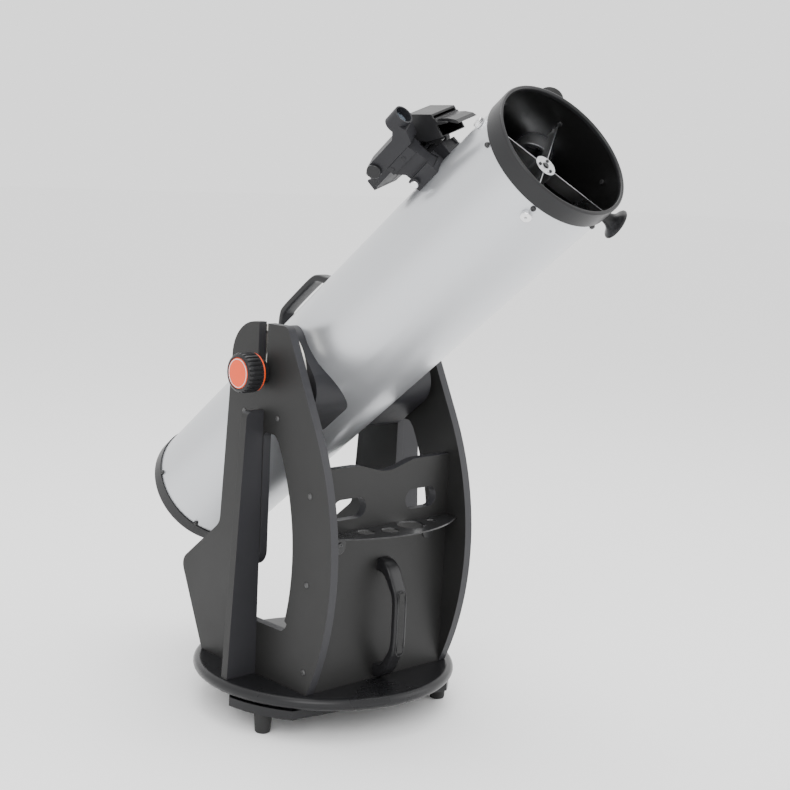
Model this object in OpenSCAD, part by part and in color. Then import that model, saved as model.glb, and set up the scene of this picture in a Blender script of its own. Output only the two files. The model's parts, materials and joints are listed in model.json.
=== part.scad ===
// Dobsonian telescope: a 203 mm newtonian tube on an alt-azimuth rocker box.
// Row frame: +Z up, floor at Z = 0, azimuth axis on Z, altitude axis along X.
// The open end of the tube and the board with the carry handle face -Y.

/* [Tube] */
// Outer diameter of the rolled steel tube
tube_od = 235; // [233:0.5:236]
// Distance from the altitude axis to the front end of the steel tube
tube_front = 633; // [600:1:660]
// Distance from the altitude axis to the rear end of the steel tube
tube_rear = 468; // [450:1:480]
// Outer diameter of the moulded end rings
ring_od = 240; // [239.5:0.5:242]
// Altitude of the tube at rest, degrees above the horizon
rest_alt = 38.3; // [20:0.1:60]

/* [Optics] */
// Diameter of the primary mirror
mirror_d = 203; // [200:1:204]
// Focal length of the primary mirror
focal_len = 1200; // [1150:10:1250]
// Distance from the altitude axis to the focuser and secondary mirror
focuser_s = 533; // [528:1:538]
// Angle of the focuser around the tube, from the top towards +X
focuser_phi = 45; // [40:1:50]

/* [Rocker box] */
// Radius of the round rotating board
base_r = 239; // [232:1:245]
// Thickness of the rotating board
base_t = 22; // [20:1:24]
// Thickness of the side panels, fins and front board
board_t = 16; // [15:0.5:17]
// Distance from the middle plane to the outer face of a side panel
panel_x = 166; // [166:0.5:168]
// Height of the altitude axis over the rotating board
axis_h = 537; // [530:1:545]
// Width of the slot that the altitude bushing drops into
slot_w = 24; // [22:0.5:26]

/* [Ground board] */
// Height of the feet
foot_h = 36; // [32:1:40]
// Thickness of the ground board
ground_t = 16; // [14:1:18]
// Gap for the roller bearing between the two boards
bearing_gap = 4; // [4:0.5:5]
// Radius of the circle that the feet stand on
foot_circle = 217.5; // [205:0.5:220]
// Angle of the ground board about the azimuth axis
ground_turn = -69; // [-90:1:90]

/* [Finder and phone dock] */
// Angle of the finder around the tube
finder_phi = -43; // [-46:1:-40]
// Angle of the phone dock around the tube
dock_phi = -20; // [-22:1:-18]

/* [Hidden] */
$fn = 96;

// Colours
black = "#26262a";
board_black = "#1d1d20";
silver = "#c9ccd2";
orange = "#ff7a2e";
glass = "#9fc4d8";

// Running clearance on a radius
fit = 0.06;
tube_r = tube_od / 2;
tube_wall = 1;
ring_r = ring_od / 2;
ground_z = foot_h;
base_z = ground_z + ground_t + bearing_gap;
deck_z = base_z + base_t;
axis_z = deck_z + axis_h;
panel_in = panel_x - board_t;
stud_r = 5;

// ---------- helpers ----------

// Points of an arc about [cx, cy] from angle a0 to a1 in n steps
function arc(cx, cy, r, a0, a1, n) =
  [for (i = [0:n]) let (a = a0 + (a1 - a0) * i / n) [cx + r * cos(a), cy + r * sin(a)]];
function unit(v) = v / norm(v);
function turn(d) = d > 180 ? d - 360 : d < -180 ? d + 360 : d;
// One corner [x, y, r] between its neighbours, as the points of its fillet
function corner(p, c, q) =
  c[2] == 0 ? [[c[0], c[1]]] :
  let (
    o = [c[0], c[1]], u = unit([p[0], p[1]] - o), v = unit([q[0], q[1]] - o),
    half = acos(u * v) / 2, mid = o + unit(u + v) * c[2] / sin(half),
    s = o + u * c[2] / tan(half) - mid, e = o + v * c[2] / tan(half) - mid,
    a0 = atan2(s[1], s[0]), d = turn(atan2(e[1], e[0]) - a0), n = ceil(abs(d) / 7.5)
  ) arc(mid[0], mid[1], c[2], a0, a0 + d, n);
// A closed outline with each corner [x, y, r] rounded to its own radius
function rounded(pts) =
  let (n = len(pts))
  [for (i = [0:n - 1]) each corner(pts[(i + n - 1) % n], pts[i], pts[(i + 1) % n])];

// A rectangle about the origin with round corners
module rrect(w, h, r) {
  square([w - 2 * r, h], center = true);
  square([w, h - 2 * r], center = true);
  for (x = [-1, 1], y = [-1, 1]) translate([x * (w / 2 - r), y * (h / 2 - r)]) circle(r);
}
// A slot with round ends, w long and h wide
module stadium(w, h) rrect(w, h, h / 2 - 0.001);
// Tube frame: X stays, Y is the top of the tube, Z runs to its open end
module in_tube() translate([0, 0, axis_z]) rotate([90 - rest_alt, 0, 0]) children();
// Place on the tube at angle phi and station s: Z out from the tube's axis, Y to the rear
module on_tube(phi, s) in_tube() rotate([0, 0, -phi]) translate([0, 0, s]) rotate([-90, 0, 0])
  children();
// The tube's own space, in on_tube coordinates
module tube_space() rotate([90, 0, 0]) cylinder(r = tube_r, h = 400, center = true);
// Draw in the plane Y-Z, extruded along X from x0 to x1
module along_x(x0, x1) translate([x0, 0, 0]) rotate([90, 0, 90]) linear_extrude(x1 - x0) children();
// Draw in the plane X-Z, extruded along Y from y0 to y1
module along_y(y0, y1) translate([0, y1, 0]) rotate([90, 0, 0]) linear_extrude(y1 - y0) children();
// A turned shape about X, from a profile of [x, r]
module turned_x(side) rotate([0, side * 90, 0]) rotate_extrude() children();
// A domed screw head with a cross recess, standing on Z = 0
module screw_head(r, h) difference() {
  rotate_extrude() polygon([[0, 0], [r, 0], [r, h * 0.35], [r * 0.72, h * 0.85], [r * 0.3, h], [0, h]]);
  translate([-r * 0.55, -r * 0.1, h * 0.6]) cube([r * 1.1, r * 0.2, h]);
  translate([-r * 0.1, -r * 0.55, h * 0.6]) cube([r * 0.2, r * 1.1, h]);
}

// ---------- ground board ----------

module ground_outline() intersection() {
  circle(232);
  circle(r = 2 * 166.5, $fn = 3);
}
module ground_board() color(board_black) rotate([0, 0, ground_turn - 90])
  translate([0, 0, ground_z]) linear_extrude(ground_t) difference() {
    ground_outline();
    circle(stud_r + fit);
  }
module feet() color(black) rotate([0, 0, ground_turn - 90]) for (k = [0:2])
  rotate([0, 0, 120 * k]) translate([foot_circle - 4, 0, 0]) rotate_extrude()
    polygon([[0, 2], [8, 2], [8, 0], [12, 0], [13.4, 1.5], [16, foot_h - 3], [17, foot_h], [0, foot_h]]);
// Bolt with its head under the ground board and a nut over the bushing
module pivot_bolt() color(silver) {
  translate([0, 0, ground_z - 7]) cylinder(r = 9, h = 7, $fn = 6);
  translate([0, 0, ground_z - 7]) cylinder(r = stud_r, h = deck_z + 14 - ground_z + 7);
  translate([0, 0, deck_z + 2.4]) cylinder(r = 11, h = 1.6);
  translate([0, 0, deck_z + 4]) cylinder(r = 9, h = 8, $fn = 6);
}
roller_r = 1.95;
roller_count = 24;
module roller_cage() color("#d8d8d2") translate([0, 0, ground_z + ground_t]) difference() {
  linear_extrude(2) difference() {
    circle(178);
    circle(150);
  }
  for (k = [0:roller_count - 1]) rotate([0, 0, k * 360 / roller_count])
    translate([156, -2.05, -1]) cube([16, 4.1, 4]);
}
module rollers() color(silver) for (k = [0:roller_count - 1]) rotate([0, 0, k * 360 / roller_count])
  translate([157, 0, ground_z + ground_t + 0.05 + roller_r]) rotate([0, 90, 0])
    cylinder(r = roller_r, h = 14);

// ---------- rocker box ----------

module rocker_base() color(board_black) translate([0, 0, base_z]) rotate_extrude() difference() {
  union() {
    square([base_r - base_t / 2, base_t]);
    translate([base_r - base_t / 2, base_t / 2]) circle(base_t / 2);
  }
  translate([0, -1]) square([9, base_t + 2]);
}
module pivot_bushing() color("#e8e4d8") translate([0, 0, base_z]) rotate_extrude()
  polygon([[stud_r + fit, 0], [9, 0], [9, base_t], [14, base_t], [14, base_t + 2], [stud_r + fit, base_t + 2]]);

// Big arc of the front edge and of the opening, in the panel's Y-Z plane
edge_c = [323, axis_z - 311];
edge_r = 523;
open_r = 422;
function at_z(r, z) = 180 - asin((z - edge_c[1]) / r);
panel_top = axis_z + 84;
horn_r = 66;
module panel_outline() polygon(concat(
  arc(edge_c[0], edge_c[1], edge_r, at_z(edge_r, deck_z), at_z(edge_r, axis_z - 78), 30),
  arc(-55.9, panel_top - 14, 14, 153.5, 90, 6),
  [[-slot_w / 2, panel_top]],
  arc(0, axis_z, slot_w / 2, 180, 360, 16),
  [[slot_w / 2, panel_top]],
  arc(20, panel_top - horn_r, horn_r, 90, 0, 12),
  rear_edge()
));
// Rear edge, from the horn down to the foot of the panel
function rear_edge() = let (p = [
    [86, panel_top - horn_r, 0], [109, axis_z - 289, 28], [224, axis_z - 382, 24], [153, deck_z, 0]
  ]) [for (i = [1:2]) each corner(p[i - 1], p[i], p[i + 1]), [p[3][0], p[3][1]]];
// Window behind the front edge, which runs on behind the fin at its foot
module panel_window() polygon(concat(
  arc(edge_c[0], edge_c[1], open_r, at_z(open_r, axis_z - 422), at_z(open_r, axis_z - 116), 20),
  let (p = [[-50, axis_z - 118, 0], [-43, axis_z - 104, 12], [-10, axis_z - 104, 8],
    [-10, axis_z - 345, 30], [55, axis_z - 345, 25], [55, axis_z - 442, 25], [-86, axis_z - 442, 22],
    [-92, axis_z - 420, 0]]) [for (i = [1:6]) each corner(p[i - 1], p[i], p[i + 1])]
));
module side_panel(side) color(board_black) along_x(side > 0 ? panel_in : -panel_x, side > 0 ? panel_x : -panel_in)
  difference() {
    panel_outline();
    panel_window();
  }
// Outer rib of a side panel, wide at the deck and narrow at the top
fin_low = 62;
fin_top = 36;
fin_h = 470;
module fin_outline() {
  slope = atan((fin_low - fin_top) / fin_h);
  round_r = 12;
  cz = fin_h - round_r;
  cx = fin_low - cz * tan(slope) - round_r / cos(slope);
  translate([cx, cz]) circle(round_r);
  polygon([[0, 0], [fin_low, 0], [cx + round_r * cos(slope), cz + round_r * sin(slope)], [cx, cz],
    [cx, fin_h], [0, fin_h]]);
}
module fins() color(board_black) for (side = [-1, 1]) mirror([side < 0 ? 1 : 0, 0, 0])
  translate([panel_x, 0, deck_z]) along_y(-board_t / 2, board_t / 2) fin_outline();

board_y = -148;
board_h = 388;
dip = 15;
module front_board() color(board_black) along_y(board_y, board_y + board_t) difference() {
  polygon(concat(
    [[-panel_in, deck_z], [panel_in, deck_z], [panel_in, deck_z + board_h]],
    [for (x = [75:-7.5:-75]) [x, deck_z + board_h - dip * (1 + cos(180 * x / 75)) / 2]],
    [[-panel_in, deck_z + board_h]]
  ));
  for (x = [-84, 84]) translate([x, deck_z + 315]) stadium(75, 36);
}

// Folded steel shelf with holes for eyepieces, hung on two tabs
rack_z = deck_z + 277;
rack_t = 2.5;
rack_holes = [[-64, -171, 16.1], [-19, -183, 16.1], [39, -174, 25.7], [91, -170, 9]];
rack_bend = 261;
module eyepiece_rack() color(black) {
  translate([0, 0, rack_z - rack_t]) linear_extrude(rack_t) difference() {
    intersection() {
      translate([0, -222 + rack_bend]) circle(rack_bend);
      translate([-149, -230]) square([298, 230 + board_y]);
    }
    for (h = rack_holes) translate([h[0], h[1]]) circle(h[2]);
  }
  for (x = [-104, 104]) translate([x, 0, 0]) along_y(board_y - rack_t, board_y) difference() {
    union() {
      translate([-12, rack_z - 26]) square([24, 26]);
      translate([0, rack_z - 26]) circle(12);
    }
    translate([0, rack_z - 22]) circle(3);
  }
}

// Bow handle on the front board
handle_z = deck_z + 111;
module carry_handle() color(black) difference() {
  along_x(-14, 14) difference() {
    polygon(rounded([[board_y, handle_z + 108, 0], [board_y - 32, handle_z + 106, 34],
      [board_y - 52, handle_z + 52, 44], [board_y - 52, handle_z - 52, 44],
      [board_y - 32, handle_z - 106, 34], [board_y, handle_z - 108, 0]]));
    polygon(rounded([[board_y + 1, handle_z + 80, 0], [board_y - 26, handle_z + 78, 26],
      [board_y - 41, handle_z + 46, 34], [board_y - 41, handle_z - 46, 34],
      [board_y - 26, handle_z - 78, 26], [board_y + 1, handle_z - 80, 0]]));
  }
  translate([0, board_y - 51, handle_z]) rotate([90, 0, 0]) linear_extrude(3) rrect(17, 96, 6);
}

// Screws that hold the boards, the rack and the bearing pegs
peg_r = 7;
disc_r = 81;
peg_y = 46.4;
peg_z = axis_z - sqrt(pow(disc_r + peg_r + 0.1, 2) - peg_y * peg_y);
module board_screws() color(silver) {
  for (side = [-1, 1]) {
    for (z = [39, 192, 345]) translate([side * panel_x, board_y + 8, deck_z + z])
      rotate([0, side * 90, 0]) screw_head(5, 2.2);
    for (y = [-peg_y, peg_y]) translate([side * panel_x, y, peg_z])
      rotate([0, side * 90, 0]) screw_head(4.5, 2.5);
    translate([side * 104, board_y - rack_t, rack_z - 22]) rotate([90, 0, 0]) {
      screw_head(5, 2.2);
      translate([0, 0, -2.5]) cylinder(r = 2, h = 2.6);
    }
  }
}
module bearing_pegs() color("#e9e6dc") for (side = [-1, 1], y = [-peg_y, peg_y])
  translate([side * panel_in, y, peg_z]) turned_x(-side)
    polygon([[0, 0], [peg_r + 3, 0], [peg_r + 3, 0.8], [peg_r, 0.8], [peg_r, 14.5], [peg_r - 1, 15.5], [0, 15.5]]);

// ---------- tube ----------

module tube() color("#d3d6da") in_tube() difference() {
  translate([0, 0, -tube_rear]) linear_extrude(tube_rear + tube_front) difference() {
    circle(tube_r);
    circle(tube_r - tube_wall);
  }
  rotate([0, 0, -focuser_phi]) translate([0, tube_r - 8, focuser_s]) rotate([-90, 0, 0])
    cylinder(r = 35, h = 16);
  for (k = [0:3]) rotate([0, 0, 45 + 90 * k]) translate([tube_r - 4, 0, vane_s])
    rotate([0, 90, 0]) cylinder(r = 2.1, h = 8);
}
// Moulded ring that wraps an end of the tube, in [r, s] with its lip at s = 0
module ring_profile(skirt) {
  lip = (ring_r - 113.2) / 2;
  translate([tube_r, lip]) square([ring_r - tube_r, skirt - lip]);
  translate([113.2, lip]) square([tube_r - 113.2, 3.8]);
  translate([ring_r - lip, lip]) circle(lip);
}
module front_ring() color(black) in_tube() translate([0, 0, tube_front + 7.2]) mirror([0, 0, 1])
  rotate_extrude() ring_profile(33.3);
module rear_ring() color(black) in_tube() translate([0, 0, -tube_rear - 7.2])
  rotate_extrude() ring_profile(27.4);
// Screws that hold the end rings, with their nuts inside the tube
module tube_screws() color(black) for (k = [0:5], s = [tube_front - 33, 25.5 - tube_rear])
  on_tube(-75 + 60 * k, s) {
    translate([0, 0, tube_r]) screw_head(4.5, 4.6);
    translate([0, 0, tube_r - 4.4]) cylinder(r = 4, h = 3, $fn = 6);
  }

// Moulded saddle between the tube and the altitude disc
saddle_x = 134;
saddle_lo = -105;
saddle_hi = 62;
module saddle_plan(inset) translate([(saddle_lo + saddle_hi) / 2, 0])
  rrect(saddle_hi - saddle_lo - 2 * inset, 160 - 2 * inset, 48 - inset);
module saddles() color(black) in_tube() for (side = [-1, 1]) mirror([side < 0 ? 1 : 0, 0, 0])
  difference() {
    translate([50, 0, 0]) rotate([90, 0, 90]) linear_extrude(saddle_x - 50) saddle_plan(0);
    cylinder(r = tube_r, h = 400, center = true);
    difference() {
      translate([40, 0, 0]) rotate([90, 0, 90]) linear_extrude(saddle_x - 48) saddle_plan(7);
      rotate([0, 90, 0]) cylinder(r = 26, h = saddle_x);
    }
    rotate([0, 90, 0]) cylinder(r = stud_r, h = saddle_x + 1);
  }
module altitude_discs() color("#e9e6dc") for (side = [-1, 1]) translate([side * saddle_x, 0, axis_z])
  turned_x(side) polygon([[stud_r, 0], [disc_r, 0], [disc_r, 14.6], [disc_r - 12, 14.6],
    [disc_r - 12, 6], [30, 6], [30, 14.6], [slot_w / 2 - 0.1, 14.6], [slot_w / 2 - 0.1, 31], [stud_r, 31]]);
module trunnion_studs() color(silver) for (side = [-1, 1]) translate([side * (tube_r + 1), 0, axis_z])
  turned_x(side) square([stud_r, 208 - tube_r]);

// Carry handle on top of the tube
module tube_handle() color(black) difference() {
  in_tube() translate([-14, 0, 0]) rotate([90, 0, 90]) linear_extrude(28) difference() {
    polygon(rounded([[112, -108, 0], [128, -100, 14], [162, -66, 30], [162, 58, 30], [128, 92, 14], [112, 100, 0]]));
    polygon(rounded([[111, -74, 0], [126, -74, 6], [149, -54, 22], [149, 46, 22], [126, 66, 6], [111, 66, 0]]));
  }
  in_tube() cylinder(r = tube_r, h = 400, center = true);
}

// Four vanes and the hub that carries the secondary mirror
vane_s = 584;
hub_r = 18;
module spider() color("#55565a") in_tube() {
  difference() {
    translate([0, 0, vane_s - 12]) cylinder(r = hub_r, h = 25);
    translate([0, 0, vane_s - 13]) cylinder(r = 3 + fit, h = 30);
    translate([0, 0, vane_s + 8]) cylinder(r = 6, h = 10);
  }
  for (k = [0:3]) rotate([0, 0, 45 + 90 * k]) {
    translate([hub_r - 0.6, -0.5, vane_s - 12]) cube([tube_r - tube_wall - hub_r + 0.4, 1, 24]);
    translate([tube_r - 8, 0, vane_s]) rotate([0, 90, 0]) cylinder(r = 2, h = k == 3 ? 7.8 : 12);
  }
  for (k = [0:2]) rotate([0, 0, 15 + 120 * k]) translate([11.5, 0, vane_s - 17.7])
    cylinder(r = 2, h = 32);
}
module spider_nuts() color(silver) for (phi = [45, -45, -135]) on_tube(phi, vane_s)
  translate([0, 0, tube_r]) difference() {
    rotate_extrude() polygon([[2, 0], [8, 0], [9, 1], [9, 7], [8, 8], [2, 8]]);
    for (a = [0:15:345]) rotate([0, 0, a]) translate([9.3, 0, -1]) cylinder(r = 0.7, h = 10, $fn = 16);
  }

// Secondary mirror: a plate cut at 45 degrees, its face through the optical axis
second_r = 24;
second_t = 8;
module at_second() in_tube() rotate([0, 0, -focuser_phi]) translate([0, 0, focuser_s]) children();
module secondary_mirror() color(glass) at_second() intersection() {
  cylinder(r = second_r, h = 100, center = true);
  rotate([225, 0, 0]) translate([-50, -50, -second_t]) cube([100, 100, second_t]);
}
module secondary_holder() color(black) at_second() {
  intersection() {
    translate([0, 0, -40]) cylinder(r = 21, h = 73);
    rotate([225, 0, 0]) translate([-60, -60, -100 - second_t]) cube([120, 120, 100]);
  }
  translate([0, 0, 20]) cylinder(r = 3, h = 42);
  translate([0, 0, vane_s + 8.4 - focuser_s]) cylinder(r = 5.2, h = 4);
}

// Primary mirror, its cell and the rear frame that the knobs act on
mirror_s = -414;
mirror_t = 22;
cell_s = -446;
frame_s = -460;
knob_circle = 84;
module primary_mirror() color(glass) in_tube() translate([0, 0, mirror_s - mirror_t]) rotate_extrude()
  polygon(concat([[0, 0], [mirror_d / 2, 0], [mirror_d / 2, mirror_t + 1.5], [mirror_d / 2 - 1, mirror_t + pow(mirror_d / 2 - 1, 2) / (4 * focal_len)]],
    [for (i = [7:-1:0]) let (r = (mirror_d / 2 - 1) * i / 8) [r, mirror_t + r * r / (4 * focal_len)]]));
module mirror_cell() color(black) in_tube() {
  difference() {
    translate([0, 0, cell_s]) cylinder(r = 106, h = 8);
    for (k = [0:2]) rotate([0, 0, 120 * k]) {
      translate([0, knob_circle, cell_s - 1]) cylinder(r = 3 + fit, h = 12);
      rotate([0, 0, 60]) translate([0, 62, cell_s - 1]) cylinder(r = 26, h = 12);
    }
    translate([0, 0, cell_s - 1]) cylinder(r = 22, h = 12);
  }
  for (k = [0:2]) rotate([0, 0, 60 + 120 * k]) {
    translate([-9, mirror_d / 2 + 0.3, cell_s + 7]) cube([18, 4, 30]);
    translate([-9, mirror_d / 2 - 4, cell_s + 34.6]) cube([18, 8, 2.4]);
    translate([0, 92, cell_s + 7]) cylinder(r = 6, h = 3);
  }
}
module cell_springs() color(silver) in_tube() for (k = [0:2]) rotate([0, 0, 120 * k])
  translate([0, knob_circle, frame_s]) for (i = [0:6]) translate([0, 0, 1 + i * 2]) rotate_extrude()
    translate([5.4, 0]) circle(1, $fn = 24);
module cell_frame() color(black) in_tube() difference() {
  translate([0, 0, frame_s - 8]) cylinder(r = tube_r - tube_wall, h = 8);
  for (k = [0:2]) rotate([0, 0, 120 * k]) {
    translate([0, knob_circle, frame_s - 9]) cylinder(r = 3 + fit, h = 10);
    rotate([0, 0, 20]) translate([0, knob_circle, frame_s - 9]) cylinder(r = 2.5, h = 10);
    rotate([0, 0, 60]) translate([0, 62, frame_s - 9]) cylinder(r = 30, h = 10);
  }
  translate([0, 0, frame_s - 9]) cylinder(r = 24, h = 10);
}
module collimation_knob(k) color(silver) in_tube() rotate([0, 0, 120 * k])
  translate([0, knob_circle, frame_s - 8]) {
    difference() {
      translate([0, 0, -17]) cylinder(r = 11, h = 16.5);
      for (a = [0:30:330]) rotate([0, 0, a]) translate([11.8, 0, -18]) cylinder(r = 1.8, h = 18);
    }
    translate([0, 0, -1]) cylinder(r = 3, h = 28);
  }
module lock_screws() color(black) in_tube() for (k = [0:2]) rotate([0, 0, 20 + 120 * k])
  translate([0, knob_circle, frame_s - 8]) {
    translate([0, 0, -8]) cylinder(r = 6, h = 8);
    cylinder(r = 2.5, h = 22);
  }

// Round pull knob near the front end
module nav_knob() color(black) on_tube(130, 583) difference() {
  translate([0, 0, tube_r - 2]) rotate_extrude() polygon(concat(
    [[0, 0], [13, 0], [13, 3]], arc(29, 14, 20, 210, 128, 10), [[24, 34]], arc(23.5, 36.5, 2, -60, 80, 5), [[10, 40], [0, 40]]));
  tube_space();
}

// ---------- focuser, Z = distance from the tube's axis ----------

draw_r = 31;
draw_lo = 86;
draw_hi = 178;
shaft_y = draw_r + 3 + 0.05;
shaft_z = 143;
module at_focuser() on_tube(focuser_phi, focuser_s) children();
module focuser_base() color(black) at_focuser() difference() {
  union() {
    translate([0, 0, 100]) linear_extrude(26) rrect(80, 80, 12);
    translate([0, 0, 100]) cylinder(r = 38, h = 62);
    translate([-24, 18, 100]) cube([48, 28, 56]);
  }
  tube_space();
  translate([0, 0, 90]) cylinder(r = draw_r + fit, h = 100);
  translate([0, shaft_y, shaft_z]) rotate([0, 90, 0]) cylinder(r = 3 + fit, h = 60, center = true);
}
module drawtube() color(silver) at_focuser() rotate_extrude() polygon([[25.45, draw_lo], [draw_r, draw_lo],
  [draw_r, draw_hi - 14], [34, draw_hi - 12], [36, draw_hi - 11], [36, draw_hi + 5], [34, draw_hi + 7], [25.45, draw_hi + 7]]);
module focus_shaft() color(silver) at_focuser() translate([0, shaft_y, shaft_z]) rotate([0, 90, 0])
  cylinder(r = 3, h = 118, center = true);
module focus_knobs() color(black) at_focuser() for (side = [-1, 1])
  translate([0, shaft_y, shaft_z]) mirror([side < 0 ? 1 : 0, 0, 0]) translate([36, 0, 0]) rotate([0, 90, 0])
    difference() {
      rotate_extrude() polygon([[3, 0], [10, 0], [10, 5], [18, 7], [19, 9], [19, 23], [17.5, 25], [3, 25]]);
      for (a = [0:20:340]) rotate([0, 0, a]) translate([20, 0, 6]) cylinder(r = 1.6, h = 22);
    }
adapter_top = 206;
eye_r = 15.9;
module eyepiece_adapter() color(black) at_focuser() difference() {
  rotate_extrude() polygon([[eye_r, draw_hi - 25], [25.4, draw_hi - 25], [25.4, draw_hi + 7.3], [30, draw_hi + 7.3],
    [30, 189], [28, 191], [24, 192], [24, adapter_top], [eye_r, adapter_top]]);
  translate([0, 0, 199]) rotate([0, 90, 0]) cylinder(r = 2 + fit, h = 30);
}
module adapter_screw() color(silver) at_focuser() translate([0, 0, 199]) rotate([0, 90, 0]) {
  translate([0, 0, eye_r + 0.3]) cylinder(r = 2, h = 15);
  translate([0, 0, 26]) difference() {
    rotate_extrude() polygon([[0, 0], [4, 0], [7, 2], [7, 11], [6, 12], [0, 12]]);
    for (a = [0:30:330]) rotate([0, 0, a]) translate([7.4, 0, 1]) cylinder(r = 0.8, h = 14, $fn = 16);
  }
}
// 25 mm eyepiece standing in the adapter
module eyepiece_barrel() color(silver) at_focuser() rotate_extrude() polygon([[13.6, 176],
  [eye_r - fit, 176], [eye_r - fit, adapter_top + 0.3], [13.6, adapter_top + 0.3]]);
module eyepiece_body() color(black) at_focuser() rotate_extrude() polygon([[0, adapter_top + 0.3],
  [19, adapter_top + 0.3], [20.5, adapter_top + 2], [20.5, 238], [18, 243], [15.6, 249], [14.6, 255],
  [15.4, 261], [18, 267], [21.6, 271.4], [22.6, 273.4], [21.6, 275], [13, 270.4], [0, 269.4]]);

// ---------- finder and phone dock ----------

// Dovetail shoe along the tube, its middle at Y = 0
module shoe(len) difference() {
  translate([-19, -len / 2, 100]) cube([38, len, 38.5]);
  tube_space();
  translate([0, len / 2 + 1, 0]) rotate([90, 0, 0]) linear_extrude(len + 2)
    polygon([[-15.4, 126], [15.4, 126], [11.4, 139], [-11.4, 139]]);
}
module shoe_foot(len, top) translate([0, len / 2, 0]) rotate([90, 0, 0]) linear_extrude(len)
  polygon([[-15, 126.3], [15, 126.3], [11, 139], [11, top], [-11, top], [-11, 139]]);
finder_s = 452;
dock_s = 462;
module at_finder() on_tube(finder_phi, finder_s) children();
module at_dock() on_tube(dock_phi, dock_s) children();
module shoes() color(silver) {
  at_finder() difference() {
    shoe(50);
    translate([-30, 14, 131]) rotate([0, 90, 0]) cylinder(r = 2.2 + fit, h = 18);
  }
  at_dock() difference() {
    shoe(50);
    translate([12, -14, 131]) rotate([0, 90, 0]) cylinder(r = 2.2 + fit, h = 18);
  }
}
module thumb_screw() color(silver) {
  translate([0, 0, -1.8]) cylinder(r = 2.2, h = 7.8);
  translate([0, 0, 6]) difference() {
    rotate_extrude() polygon([[0, 0], [5, 0], [6.5, 1], [6.5, 8], [5.5, 9], [0, 9]]);
    for (a = [0:30:330]) rotate([0, 0, a]) translate([6.9, 0, -1]) cylinder(r = 0.7, h = 12, $fn = 16);
  }
}
module finder_screw() at_finder() translate([-16.2, 14, 131]) rotate([0, -90, 0]) thumb_screw();
module dock_screw() at_dock() translate([16.2, -14, 131]) rotate([0, 90, 0]) thumb_screw();
// Bracket from the shoe to the rail that carries the sight
module finder_stem() color(black) at_finder() {
  shoe_foot(46, 150);
  difference() {
    translate([-11, 0, 0]) rotate([90, 0, 90]) linear_extrude(22)
      polygon([[-23, 148], [23, 148], [34, 160], [34, 176], [-24, 176], [-24, 160]]);
    translate([-12, 30, 170]) rotate([0, 90, 0]) cylinder(r = 0.6, h = 1);
  }
  translate([-15, -24, 162]) cube([30, 58, 15]);
  for (y = [-1, 28]) translate([-15, y, 169.5]) rotate([0, -90, 0]) difference() {
    cylinder(r = 3.6, h = 1.2);
    translate([-4, -0.5, 0.6]) cube([8, 1, 2]);
  }
}
// Sight body with a round hood round its window at the front
hood_z = 213;
module finder_body() color(black) at_finder() difference() {
  union() {
    translate([-16, 0, 0]) rotate([90, 0, 90]) linear_extrude(32) polygon(rounded([[66, 178, 3], [66, 196, 5],
      [54, 202, 8], [-16, 202, 12], [-36, 216, 10], [-42, 216, 0], [-46, 196, 4], [-34, 177.2, 3]]));
    translate([0, -28, hood_z]) rotate([90, 0, 0]) cylinder(r = 16, h = 28);
  }
  translate([0, -38, hood_z]) rotate([90, 0, 0]) cylinder(r = 13.5, h = 30);
  translate([-18, 50, 190]) rotate([0, 90, 0]) cylinder(r = 3 + fit, h = 8);
}
module finder_window() color(glass) at_finder() translate([0, -42, hood_z]) rotate([90, 0, 0])
  cylinder(r = 13.5, h = 2);
module finder_dial() color(black) at_finder() translate([-16.3, 50, 190]) rotate([0, -90, 0]) {
  rotate_extrude() polygon([[0, 0], [11.5, 0], [12, 1], [12, 4], [11, 5], [0, 5]]);
  translate([0, 0, -6]) cylinder(r = 3, h = 7);
}

// Phone dock: arm, sliding cradle, clamp and the hood over the pick-off mirror
module dock_arm() color(black) at_dock() {
  shoe_foot(46, 139);
  translate([-11, -8, 138]) cube([22, 31, 12]);
  translate([-22, -8, 148]) cube([44, 50, 5]);
  difference() {
    translate([-12, -4, 152.9]) cube([24, 44, 7.1]);
    translate([-30, 10, 156.6]) rotate([0, 90, 0]) cylinder(r = 2.5 + fit, h = 60);
  }
}
cradle_z = 160.4;
module dock_cradle() color(black) at_dock() {
  difference() {
    translate([0, 0, cradle_z]) linear_extrude(4) translate([0, 63]) rrect(72, 114, 6);
    translate([-13, 62, cradle_z - 1]) cube([26, 60, 6]);
  }
  for (x = [-36, 33]) translate([x, 14, cradle_z]) cube([3, 92, 13]);
  difference() {
    for (x = [-20, 14.2]) translate([x, 7, 153.4]) cube([5.8, 27, 7.6]);
    translate([-30, 10, 156.6]) rotate([0, 90, 0]) cylinder(r = 2.5 + fit, h = 60);
  }
}
module clamp_jaw() color(black) at_dock() {
  translate([-32, 121, cradle_z]) cube([64, 6, 17]);
  translate([-12, 64, cradle_z + 0.4]) cube([24, 60, 3.2]);
  translate([0, 124, cradle_z + 17]) rotate([0, 90, 0]) cylinder(r = 3, h = 64, center = true);
}
module dock_knob() color(black) at_dock() translate([0, 10, 156.6]) rotate([0, 90, 0]) {
  translate([0, 0, -20]) cylinder(r = 2.5, h = 72);
  translate([0, 0, 40]) difference() {
    rotate_extrude() polygon([[0, 0], [9, 0], [10, 1], [10, 11], [9, 12], [0, 12]]);
    for (a = [0:30:330]) rotate([0, 0, a]) translate([10.8, 0, -1]) cylinder(r = 1.6, h = 14);
  }
}
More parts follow.
